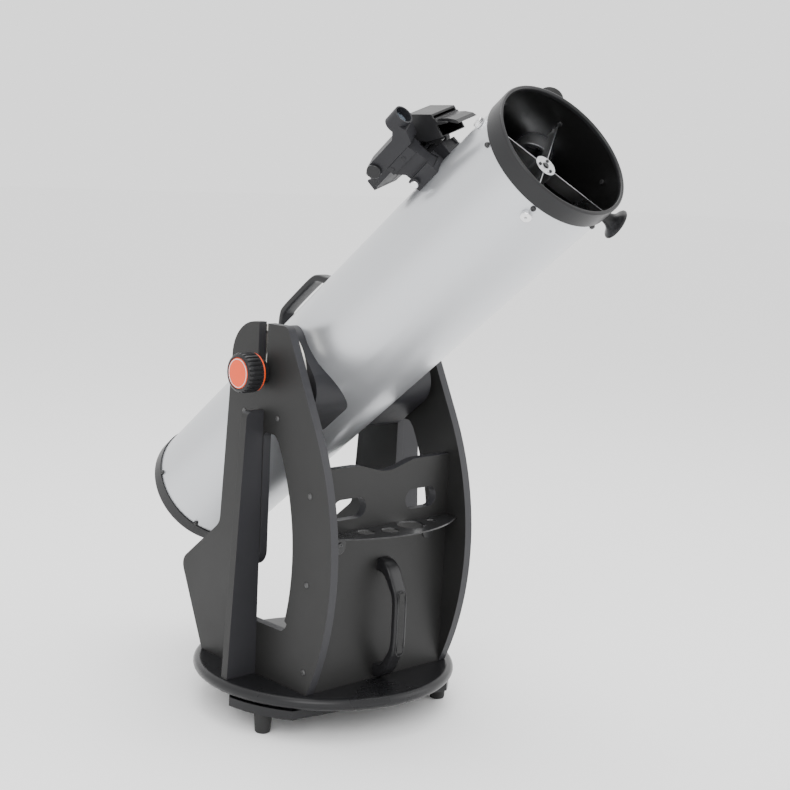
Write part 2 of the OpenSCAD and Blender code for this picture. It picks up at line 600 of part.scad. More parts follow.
// Hood over the pick-off mirror: side walls, roof and floor, open at the front, with a lip
module dock_hood() color(black) at_dock() {
  difference() {
    along_x(-34, 34) polygon(rounded([[18, 182, 2], [4, 206, 8], [-15, 207, 8], [-52, 177, 2],
      [-42, 139.5, 1], [-15, 151, 3]]));
    along_x(-31, 31) polygon([[13.5, 182], [2, 201], [-14, 203.5], [-58, 168], [-50, 137], [-14, 155.5]]);
  }
  along_x(-26, 26) polygon([[-49.5, 168], [-66, 156], [-76, 145], [-78, 138], [-74, 139], [-64, 150], [-49.5, 162]]);
  translate([-34, 0, 0]) along_x(0, 3) polygon([[-45, 160], [-49, 164], [-66, 152], [-66, 149]]);
  translate([31, 0, 0]) along_x(0, 3) polygon([[-45, 160], [-49, 164], [-66, 152], [-66, 149]]);
  along_x(-34, 34) polygon([[-46, 162], [-46.5, 172.5], [-52, 168], [-51, 160]]);
  translate([-30, 2, cradle_z]) cube([60, 4, 10]);
}

// ---------- altitude tension knobs ----------

module tension_knob(side) color(black) translate([side * (panel_x + 0.4), 0, axis_z]) difference() {
  turned_x(side) polygon([[stud_r + fit, 0], [22, 0], [22, 16], [30, 17], [30, 20], [33.5, 21],
    [34.5, 23], [34.5, 46], [32, 51], [29, 52.5], [27, 52.5], [27, 50.3], [stud_r + fit, 50.3]]);
  for (a = [0:18:342]) rotate([a, 0, 0]) translate([side * 22, 36.4, 0]) rotate([0, side * 90, 0])
    cylinder(r = 3, h = 24);
}
module knob_trim(side) color(orange) translate([side * (panel_x + 0.4), 0, axis_z]) turned_x(side) {
  polygon([[0, 50.4], [26.9, 50.4], [26.9, 52], [25, 52.8], [0, 52.8]]);
  translate([30, 17.2]) square([2.6, 2.6]);
}

ground_board();
feet();
pivot_bolt();
roller_cage();
rollers();
rocker_base();
side_panel(-1);  // side_panel_left
side_panel(1);  // side_panel_right
fins();
front_board();
eyepiece_rack();
carry_handle();
board_screws();
bearing_pegs();
pivot_bushing();
tube();
front_ring();
rear_ring();
tube_screws();
saddles();
altitude_discs();
trunnion_studs();
tube_handle();
spider();
spider_nuts();
cell_frame();
mirror_cell();
primary_mirror();
cell_springs();
focuser_base();
nav_knob();
shoes();
secondary_holder();
secondary_mirror();
tension_knob(-1);  // knob_left
tension_knob(1);  // knob_right
knob_trim(-1);  // knob_trim_left
knob_trim(1);  // knob_trim_right
collimation_knob(0);  // collimation_knob_1
collimation_knob(1);  // collimation_knob_2
collimation_knob(2);  // collimation_knob_3
lock_screws();
drawtube();
focus_shaft();
focus_knobs();
eyepiece_adapter();
adapter_screw();
eyepiece_body();
eyepiece_barrel();
finder_stem();
finder_body();
finder_window();
finder_dial();
finder_screw();
dock_screw();
dock_arm();
dock_cradle();
dock_hood();
clamp_jaw();
dock_knob();
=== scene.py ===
"""Looks of a dobsonian telescope: every finish and detailed piece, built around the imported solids."""

import json
import logging
import math
from dataclasses import dataclass
from enum import Enum
from typing import Callable, Iterable, Sequence

import bmesh
import bpy
from mathutils import Matrix, Vector


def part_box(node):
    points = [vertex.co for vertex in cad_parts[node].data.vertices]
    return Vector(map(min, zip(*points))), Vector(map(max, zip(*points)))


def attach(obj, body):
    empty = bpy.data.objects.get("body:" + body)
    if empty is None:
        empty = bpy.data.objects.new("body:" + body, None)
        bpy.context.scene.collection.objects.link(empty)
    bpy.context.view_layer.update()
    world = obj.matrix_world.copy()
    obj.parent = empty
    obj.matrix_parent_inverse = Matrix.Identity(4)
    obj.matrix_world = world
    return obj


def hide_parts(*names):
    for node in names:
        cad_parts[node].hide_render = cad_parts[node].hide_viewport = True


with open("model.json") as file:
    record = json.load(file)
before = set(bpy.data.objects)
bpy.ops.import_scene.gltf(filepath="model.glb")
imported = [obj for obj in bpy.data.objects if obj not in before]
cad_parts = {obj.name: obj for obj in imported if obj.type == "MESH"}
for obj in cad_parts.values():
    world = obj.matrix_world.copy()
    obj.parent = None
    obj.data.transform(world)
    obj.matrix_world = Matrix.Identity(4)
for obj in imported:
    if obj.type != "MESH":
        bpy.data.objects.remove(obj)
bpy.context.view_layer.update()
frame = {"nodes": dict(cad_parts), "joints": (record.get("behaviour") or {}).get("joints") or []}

LOG = logging.getLogger("telescope")
MM = 0.001
Colour = tuple[float, float, float]
Point = tuple[float, float]


# ---------------------------------------------------------------- frame helpers

def joint(name: str) -> dict:
    """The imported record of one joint.

    Args:
        name: the joint's name.

    Returns:
        Its entry in behaviour.joints.
    """
    return next(j for j in frame["joints"] if j["name"] == name)


class TubeFrame:
    """Axes of the tube at rest: along it, up from it and across it."""

    def __init__(self) -> None:
        """Reads the pivot and the direction of the tube from the joints."""
        self.pivot = Vector(joint("altitude")["pos_m"])
        self.along = Vector(joint("cell_piston")["axis"]).normalized()
        self.across = Vector((1.0, 0.0, 0.0))
        self.up = self.along.cross(self.across).normalized() * -1.0
        if self.up.z < 0:
            self.up.negate()

    def at(self, turn: float, station: float, radius: float = 0.0) -> Matrix:
        """Places a piece on the tube: X tangential, Y towards the rear, Z outward.

        Args:
            turn: degrees round the tube, from its top towards +X.
            station: metres along the tube from the altitude axis.
            radius: metres out from the tube's axis.

        Returns:
            The matrix of that place.
        """
        a = math.radians(turn)
        out = self.across * math.sin(a) + self.up * math.cos(a)
        tangent = self.across * math.cos(a) - self.up * math.sin(a)
        origin = self.pivot + self.along * station + out * radius
        m = Matrix((tangent, -self.along, out)).transposed().to_4x4()
        m.translation = origin
        return m


TUBE = TubeFrame()


# ---------------------------------------------------------------- shader groups

class Groups:
    """Shared surface effects as shader node groups, each built once."""

    made: dict[str, bpy.types.NodeTree] = {}

    @classmethod
    def get(cls, name: str) -> bpy.types.NodeTree:
        """Returns the group of that name, building it the first time.

        Args:
            name: one of the builder methods' names.

        Returns:
            The node group.
        """
        if name not in cls.made:
            cls.made[name] = getattr(cls, name)()
        return cls.made[name]

    @staticmethod
    def start(name: str, inputs: dict[str, float], outputs: Sequence[str]) -> bpy.types.NodeTree:
        """Opens a new group with number sockets.

        Args:
            name: the group's name.
            inputs: number inputs and their defaults.
            outputs: names of the number outputs.

        Returns:
            The empty group with its input and output nodes.
        """
        tree = bpy.data.node_groups.new(name, "ShaderNodeTree")
        for key, value in inputs.items():
            s = tree.interface.new_socket(key, in_out="INPUT", socket_type="NodeSocketFloat")
            s.default_value = value
        for key in outputs:
            tree.interface.new_socket(key, in_out="OUTPUT", socket_type="NodeSocketFloat")
        tree.nodes.new("NodeGroupInput").name = "in"
        tree.nodes.new("NodeGroupOutput").name = "out"
        return tree

    @classmethod
    def moulded_grain(cls) -> bpy.types.NodeTree:
        """Fine pebble of moulded plastic and laminate, with slow uneven tone."""
        t = cls.start("moulded_grain", {"Scale": 900.0, "Tone Scale": 9.0}, ("Height", "Tone"))
        n, l = t.nodes, t.links
        at = n.new("ShaderNodeTexCoord")
        fine = n.new("ShaderNodeTexVoronoi")
        fine.feature = "SMOOTH_F1"
        soft = n.new("ShaderNodeTexNoise")
        soft.inputs["Detail"].default_value = 5.0
        mix = n.new("ShaderNodeMath")
        mix.operation = "MULTIPLY_ADD"
        mix.inputs[1].default_value = 0.6
        tone = n.new("ShaderNodeTexNoise")
        tone.inputs["Detail"].default_value = 6.0
        tone.inputs["Roughness"].default_value = 0.62
        for tex in (fine, soft, tone):
            l.new(at.outputs["Object"], tex.inputs["Vector"])
        l.new(n["in"].outputs["Scale"], fine.inputs["Scale"])
        l.new(n["in"].outputs["Scale"], soft.inputs["Scale"])
        l.new(n["in"].outputs["Tone Scale"], tone.inputs["Scale"])
        l.new(fine.outputs["Distance"], mix.inputs[0])
        l.new(soft.outputs["Fac"], mix.inputs[2])
        l.new(mix.outputs[0], n["out"].inputs["Height"])
        l.new(tone.outputs["Fac"], n["out"].inputs["Tone"])
        return t

    @classmethod
    def dust_scuffs(cls) -> bpy.types.NodeTree:
        """Faint scratches and settled dust, as one mask."""
        t = cls.start("dust_scuffs", {"Scale": 60.0, "Amount": 0.3}, ("Mask",))
        n, l = t.nodes, t.links
        at = n.new("ShaderNodeTexCoord")
        stretch = n.new("ShaderNodeMapping")
        stretch.inputs["Scale"].default_value = (1.0, 9.0, 1.0)
        stretch.inputs["Rotation"].default_value = (0.4, 0.9, 0.3)
        streak = n.new("ShaderNodeTexNoise")
        streak.inputs["Detail"].default_value = 3.0
        cut = n.new("ShaderNodeMapRange")
        cut.inputs["From Min"].default_value = 0.62
        cut.inputs["From Max"].default_value = 0.74
        gain = n.new("ShaderNodeMath")
        gain.operation = "MULTIPLY"
        l.new(at.outputs["Object"], stretch.inputs["Vector"])
        l.new(stretch.outputs["Vector"], streak.inputs["Vector"])
        l.new(n["in"].outputs["Scale"], streak.inputs["Scale"])
        l.new(streak.outputs["Fac"], cut.inputs["Value"])
        l.new(cut.outputs["Result"], gain.inputs[0])
        l.new(n["in"].outputs["Amount"], gain.inputs[1])
        l.new(gain.outputs[0], n["out"].inputs["Mask"])
        return t

    @classmethod
    def edge_highlight_and_wear(cls) -> bpy.types.NodeTree:
        """Painted highlight and wear on rounded edges: where an edge catches the light, broken up by noise."""
        t = cls.start("edge_highlight_and_wear", {"Amount": 0.5}, ("Mask",))
        n, l = t.nodes, t.links
        bevel = n.new("ShaderNodeBevel")
        bevel.samples = 4
        bevel.inputs["Radius"].default_value = 0.0011
        geo = n.new("ShaderNodeNewGeometry")
        dot = n.new("ShaderNodeVectorMath")
        dot.operation = "DOT_PRODUCT"
        rim = n.new("ShaderNodeMapRange")
        rim.inputs["From Min"].default_value = 0.985
        rim.inputs["From Max"].default_value = 0.86
        at = n.new("ShaderNodeTexCoord")
        noise = n.new("ShaderNodeTexNoise")
        noise.inputs["Scale"].default_value = 55.0
        noise.inputs["Detail"].default_value = 6.0
        broken = n.new("ShaderNodeMapRange")
        broken.inputs["From Min"].default_value = 0.35
        broken.inputs["From Max"].default_value = 0.65
        first, second = n.new("ShaderNodeMath"), n.new("ShaderNodeMath")
        first.operation = second.operation = "MULTIPLY"
        l.new(bevel.outputs["Normal"], dot.inputs[0])
        l.new(geo.outputs["Normal"], dot.inputs[1])
        l.new(dot.outputs["Value"], rim.inputs["Value"])
        l.new(at.outputs["Object"], noise.inputs["Vector"])
        l.new(noise.outputs["Fac"], broken.inputs["Value"])
        l.new(rim.outputs["Result"], first.inputs[0])
        l.new(broken.outputs["Result"], first.inputs[1])
        l.new(first.outputs[0], second.inputs[0])
        l.new(n["in"].outputs["Amount"], second.inputs[1])
        l.new(second.outputs[0], n["out"].inputs["Mask"])
        return t

    @classmethod
    def brushed_lines(cls) -> bpy.types.NodeTree:
        """Long fine lines of brushed or turned metal."""
        t = cls.start("brushed_lines", {"Scale": 300.0}, ("Height", "Tone"))
        n, l = t.nodes, t.links
        at = n.new("ShaderNodeTexCoord")
        stretch = n.new("ShaderNodeMapping")
        stretch.inputs["Scale"].default_value = (0.12, 1.0, 1.0)
        lines = n.new("ShaderNodeTexNoise")
        lines.inputs["Detail"].default_value = 4.0
        tone = n.new("ShaderNodeTexNoise")
        tone.inputs["Scale"].default_value = 25.0
        l.new(at.outputs["Object"], stretch.inputs["Vector"])
        l.new(stretch.outputs["Vector"], lines.inputs["Vector"])
        l.new(at.outputs["Object"], tone.inputs["Vector"])
        l.new(n["in"].outputs["Scale"], lines.inputs["Scale"])
        l.new(lines.outputs["Fac"], n["out"].inputs["Height"])
        l.new(tone.outputs["Fac"], n["out"].inputs["Tone"])
        return t


class Texture(Enum):
    """Which shared relief a finish has."""

    MOULDED = "moulded_grain"
    BRUSHED = "brushed_lines"


@dataclass(frozen=True)
class Finish:
    """One surface finish: colour, gloss, relief, painted edge highlight with wear, and dust."""

    name: str
    low: Colour
    high: Colour
    rough: tuple[float, float] = (0.35, 0.5)
    metal: float = 0.0
    coat: float = 0.0
    coat_rough: float = 0.1
    texture: Texture = Texture.MOULDED
    scale: float = 900.0
    tone_scale: float = 9.0
    relief: float = 0.15
    depth: float = 0.0002
    # Colour and amount of the painted edge highlight and wear that is mixed onto rounded edges.
    worn_and_highlit: Colour = (0.12, 0.12, 0.12)
    highlight_and_wear: float = 0.35
    dust: float = 0.12
    soften: float = 0.0009
    specular: float = 0.28
    transmission: float = 0.0
    alpha: float = 1.0

    def material(self) -> bpy.types.Material:
        """Builds this finish's material once.

        Returns:
            The material.
        """
        known = bpy.data.materials.get(self.name)
        if known is not None:
            return known
        mat = bpy.data.materials.new(self.name)
        mat.use_nodes = True
        t = mat.node_tree
        n, l = t.nodes, t.links
        bsdf = n["Principled BSDF"]
        grain = n.new("ShaderNodeGroup")
        grain.node_tree = Groups.get(self.texture.value)
        grain.inputs["Scale"].default_value = self.scale
        if self.texture is Texture.MOULDED:
            grain.inputs["Tone Scale"].default_value = self.tone_scale
        # Painted highlight and wear: a mask of the rounded edges, broken up by noise.
        highlight_and_wear = n.new("ShaderNodeGroup")
        highlight_and_wear.node_tree = Groups.get("edge_highlight_and_wear")
        highlight_and_wear.inputs["Amount"].default_value = self.highlight_and_wear
        dust = n.new("ShaderNodeGroup")
        dust.node_tree = Groups.get("dust_scuffs")
        dust.inputs["Amount"].default_value = self.dust
        tone = n.new("ShaderNodeMix")
        tone.data_type = "RGBA"
        tone.inputs["A"].default_value = (*self.low, 1.0)
        tone.inputs["B"].default_value = (*self.high, 1.0)
        l.new(grain.outputs["Tone"], tone.inputs["Factor"])
        # Rounded edges take the painted highlight and wear colour.
        worn_and_highlit = n.new("ShaderNodeMix")
        worn_and_highlit.data_type = "RGBA"
        worn_and_highlit.inputs["B"].default_value = (*self.worn_and_highlit, 1.0)
        l.new(tone.outputs["Result"], worn_and_highlit.inputs["A"])
        l.new(highlight_and_wear.outputs["Mask"], worn_and_highlit.inputs["Factor"])
        l.new(self.over(n, l, worn_and_highlit.outputs["Result"]), bsdf.inputs["Base Color"])
        spread = n.new("ShaderNodeMapRange")
        spread.inputs["From Min"].default_value = 0.3
        spread.inputs["From Max"].default_value = 0.7
        spread.inputs["To Min"].default_value = self.rough[0]
        spread.inputs["To Max"].default_value = self.rough[1]
        l.new(grain.outputs["Tone"], spread.inputs["Value"])
        rougher = n.new("ShaderNodeMath")
        rougher.operation = "MULTIPLY_ADD"
        rougher.inputs[1].default_value = 0.25
        l.new(dust.outputs["Mask"], rougher.inputs[0])
        l.new(spread.outputs["Result"], rougher.inputs[2])
        l.new(rougher.outputs[0], bsdf.inputs["Roughness"])
        bevel = n.new("ShaderNodeBevel")
        bevel.samples = 4
        bevel.inputs["Radius"].default_value = self.soften
        bump = n.new("ShaderNodeBump")
        bump.inputs["Strength"].default_value = self.relief
        bump.inputs["Distance"].default_value = self.depth
        l.new(grain.outputs["Height"], bump.inputs["Height"])
        l.new(bevel.outputs["Normal"], bump.inputs["Normal"])
        l.new(bump.outputs["Normal"], bsdf.inputs["Normal"])
        bsdf.inputs["Metallic"].default_value = self.metal
        bsdf.inputs["Coat Weight"].default_value = self.coat
        bsdf.inputs["Coat Roughness"].default_value = self.coat_rough
        bsdf.inputs["Specular IOR Level"].default_value = self.specular
        bsdf.inputs["Transmission Weight"].default_value = self.transmission
        bsdf.inputs["Alpha"].default_value = self.alpha
        return mat

    def over(self, n: bpy.types.Nodes, l: bpy.types.NodeLinks, colour: bpy.types.NodeSocket) -> bpy.types.NodeSocket:
        """Lays a further colour over the base; a plain finish adds none.

        Args:
            n: the material's nodes.
            l: the material's links.
            colour: the colour so far.

        Returns:
            The socket of the final colour.
        """
        return colour


@dataclass(frozen=True)
class BoardFinish(Finish):
    """Laminate on the broad faces of a board and a paler band on its cut edges."""

    axis: str = "X"
    band: Colour = (0.026, 0.026, 0.029)

    def over(self, n: bpy.types.Nodes, l: bpy.types.NodeLinks, colour: bpy.types.NodeSocket) -> bpy.types.NodeSocket:
        """Colours the faces that look away from the board's thin direction.

        Args:
            n: the material's nodes.
            l: the material's links.
            colour: the laminate's colour.

        Returns:
            The socket of the colour of faces and edges.
        """
        at = n.new("ShaderNodeTexCoord")
        split = n.new("ShaderNodeSeparateXYZ")
        l.new(at.outputs["Normal"], split.inputs[0])
        size = n.new("ShaderNodeMath")
        size.operation = "ABSOLUTE"
        l.new(split.outputs[self.axis], size.inputs[0])
        flat = n.new("ShaderNodeMapRange")
        flat.inputs["From Min"].default_value = 0.6
        flat.inputs["From Max"].default_value = 0.8
        l.new(size.outputs[0], flat.inputs["Value"])
        mix = n.new("ShaderNodeMix")
        mix.data_type = "RGBA"
        mix.inputs["A"].default_value = (*self.band, 1.0)
        l.new(flat.outputs["Result"], mix.inputs["Factor"])
        l.new(colour, mix.inputs["B"])
        return mix.outputs["Result"]


@dataclass(frozen=True)
class RolledPaint(Finish):
    """Pearl paint outside a rolled tube and flat black inside it."""

    split: float = 0.11695
    inside: Colour = (0.004, 0.004, 0.004)

    def over(self, n: bpy.types.Nodes, l: bpy.types.NodeLinks, colour: bpy.types.NodeSocket) -> bpy.types.NodeSocket:
        """Blackens what lies nearer the tube's axis than the split radius.

        Args:
            n: the material's nodes.
            l: the material's links.
            colour: the paint's colour.

        Returns:
            The socket of the colour inside and out.
        """
        at = n.new("ShaderNodeTexCoord")
        arm = n.new("ShaderNodeVectorMath")
        arm.operation = "SUBTRACT"
        arm.inputs[1].default_value = TUBE.pivot
        cross = n.new("ShaderNodeVectorMath")
        cross.operation = "CROSS_PRODUCT"
        cross.inputs[1].default_value = TUBE.along
        far = n.new("ShaderNodeVectorMath")
        far.operation = "LENGTH"
        outer = n.new("ShaderNodeMath")
        outer.operation = "GREATER_THAN"
        outer.inputs[1].default_value = self.split
        l.new(at.outputs["Object"], arm.inputs[0])
        l.new(arm.outputs["Vector"], cross.inputs[0])
        l.new(cross.outputs["Vector"], far.inputs[0])
        l.new(far.outputs["Value"], outer.inputs[0])
        pick = n.new("ShaderNodeMix")
        pick.data_type = "RGBA"
        pick.inputs["A"].default_value = (*self.inside, 1.0)
        l.new(colour, pick.inputs["B"])
        l.new(outer.outputs[0], pick.inputs["Factor"])
        shine = n.new("ShaderNodeMath")
        shine.operation = "MULTIPLY"
        shine.inputs[1].default_value = self.metal
        l.new(outer.outputs[0], shine.inputs[0])
        l.new(shine.outputs[0], n["Principled BSDF"].inputs["Metallic"])
        glaze = n.new("ShaderNodeMath")
        glaze.operation = "MULTIPLY"
        glaze.inputs[1].default_value = self.coat
        l.new(outer.outputs[0], glaze.inputs[0])
        l.new(glaze.outputs[0], n["Principled BSDF"].inputs["Coat Weight"])
        return pick.outputs["Result"]


LAMINATE = BoardFinish("black_laminate", (0.0125, 0.0125, 0.0125), (0.0170, 0.0168, 0.0164), (0.40, 0.52),
                       scale=1100.0, relief=0.10, highlight_and_wear=0.25, worn_and_highlit=(0.05, 0.05, 0.05), soften=0.0007)
FRONT_LAMINATE = BoardFinish("front_laminate", (0.0125, 0.0125, 0.0125), (0.0170, 0.0168, 0.0164), (0.36, 0.48),
                             scale=1100.0, relief=0.10, highlight_and_wear=0.25, worn_and_highlit=(0.05, 0.05, 0.05), soften=0.0007, axis="Y")
BASE_LAMINATE = Finish("base_laminate", (0.008, 0.008, 0.009), (0.013, 0.013, 0.014), (0.24, 0.34),
                       scale=1000.0, relief=0.08, highlight_and_wear=0.15, soften=0.0006)
PEARL = RolledPaint("pearl_silver_paint", (0.56, 0.575, 0.60), (0.60, 0.612, 0.63), (0.27, 0.33), metal=0.72,
                    coat=0.3, coat_rough=0.14, scale=2600.0, relief=0.015, depth=0.00005, highlight_and_wear=0.04,
                    worn_and_highlit=(0.45, 0.45, 0.45), dust=0.02, tone_scale=3.0, specular=0.5)
SATIN = Finish("satin_black_plastic", (0.009, 0.009, 0.010), (0.016, 0.016, 0.017), (0.28, 0.40),
               scale=1300.0, relief=0.22, highlight_and_wear=0.35)
MATT = Finish("moulded_grey_black", (0.011, 0.011, 0.013), (0.020, 0.020, 0.023), (0.40, 0.54),
              scale=1500.0, relief=0.25, highlight_and_wear=0.35)
RUBBER = Finish("soft_black_rubber", (0.014, 0.014, 0.014), (0.026, 0.026, 0.026), (0.6, 0.78), relief=0.3, scale=800.0)
ENAMEL = Finish("black_enamel", (0.010, 0.010, 0.011), (0.02, 0.02, 0.021), (0.25, 0.38), relief=0.1, highlight_and_wear=0.6,
                worn_and_highlit=(0.25, 0.25, 0.25), coat=0.2)
ORANGE = Finish("orange_plastic", (0.72, 0.055, 0.003), (0.80, 0.075, 0.006), (0.25, 0.36), relief=0.08, scale=1500.0,
                worn_and_highlit=(0.85, 0.16, 0.05), highlight_and_wear=0.2, coat=0.1, specular=0.4)
CHROME = Finish("bright_nickel", (0.72, 0.72, 0.73), (0.86, 0.86, 0.87), (0.14, 0.26), metal=1.0,
                texture=Texture.BRUSHED, relief=0.12, worn_and_highlit=(0.9, 0.9, 0.9), highlight_and_wear=0.4, specular=0.5)
ALLOY = Finish("turned_alloy", (0.66, 0.67, 0.69), (0.80, 0.81, 0.82), (0.25, 0.38), metal=1.0,
               texture=Texture.BRUSHED, relief=0.2, worn_and_highlit=(0.9, 0.9, 0.9), highlight_and_wear=0.3, specular=0.5)
ZINC = Finish("zinc_steel", (0.42, 0.42, 0.41), (0.60, 0.60, 0.58), (0.30, 0.46), metal=1.0,
              texture=Texture.BRUSHED, relief=0.2, worn_and_highlit=(0.8, 0.8, 0.78), highlight_and_wear=0.4, specular=0.5)
DARK_STEEL = Finish("blackened_steel", (0.05, 0.05, 0.052), (0.10, 0.10, 0.10), (0.28, 0.42), metal=0.8,
                    texture=Texture.BRUSHED, relief=0.15, worn_and_highlit=(0.4, 0.4, 0.4), highlight_and_wear=0.5)
GLIDE = Finish("bearing_plastic", (0.055, 0.055, 0.057), (0.09, 0.09, 0.092), (0.32, 0.45), relief=0.12, scale=800.0)
CAGE = Finish("cage_plastic", (0.55, 0.54, 0.50), (0.68, 0.67, 0.62), (0.4, 0.55), relief=0.15)
SILVERED = Finish("silvered_glass", (0.86, 0.88, 0.90), (0.90, 0.92, 0.93), (0.015, 0.03), metal=1.0, relief=0.0,
                  dust=0.05, highlight_and_wear=0.1, specular=0.5)
COATED = Finish("coated_window", (0.30, 0.36, 0.42), (0.36, 0.42, 0.50), (0.03, 0.06), relief=0.02, coat=0.8,
                coat_rough=0.03, alpha=0.35, highlight_and_wear=0.1, specular=0.5)

FINISHES: dict[str, Finish] = {
    "ground_board": BASE_LAMINATE, "feet": RUBBER, "pivot_bolt": ZINC, "roller_cage": CAGE, "rollers": ZINC,
    "rocker_base": BASE_LAMINATE, "side_panel_left": LAMINATE, "side_panel_right": LAMINATE, "fins": LAMINATE,
    "front_board": FRONT_LAMINATE, "eyepiece_rack": ENAMEL, "carry_handle": SATIN, "board_screws": DARK_STEEL,
    "bearing_pegs": GLIDE, "pivot_bushing": GLIDE, "tube": PEARL, "front_ring": SATIN, "rear_ring": SATIN,
    "tube_screws": ENAMEL, "saddles": MATT, "altitude_discs": GLIDE, "trunnion_studs": ZINC,
    "tube_handle": SATIN, "spider": ALLOY, "spider_nuts": CHROME, "cell_frame": ENAMEL, "mirror_cell": ENAMEL,
    "primary_mirror": SILVERED, "cell_springs": ZINC, "focuser_base": MATT, "nav_knob": SATIN, "shoes": MATT,
    "secondary_holder": ENAMEL, "secondary_mirror": SILVERED, "knob_left": SATIN, "knob_right": SATIN,
    "knob_trim_left": ORANGE, "knob_trim_right": ORANGE, "collimation_knob_1": CHROME,
    "collimation_knob_2": CHROME, "collimation_knob_3": CHROME, "lock_screws": SATIN, "drawtube": ALLOY,
    "focus_shaft": ZINC, "focus_knobs": SATIN, "eyepiece_adapter": ENAMEL, "adapter_screw": CHROME,
    "eyepiece_body": RUBBER, "eyepiece_barrel": CHROME, "finder_stem": MATT, "finder_body": MATT,
    "finder_window": COATED, "finder_dial": SATIN, "finder_screw": CHROME, "dock_screw": CHROME,
    "dock_arm": MATT, "dock_cradle": MATT, "dock_hood": SATIN, "clamp_jaw": MATT, "dock_knob": SATIN,
}


def dress_nodes() -> None:
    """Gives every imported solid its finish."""
    for name, node in frame["nodes"].items():
        finish = FINISHES[name]
        node.data.materials.clear()
        node.data.materials.append(finish.material())
        LOG.info("node %s: %s", name, finish.name)


# ---------------------------------------------------------------- mesh makers

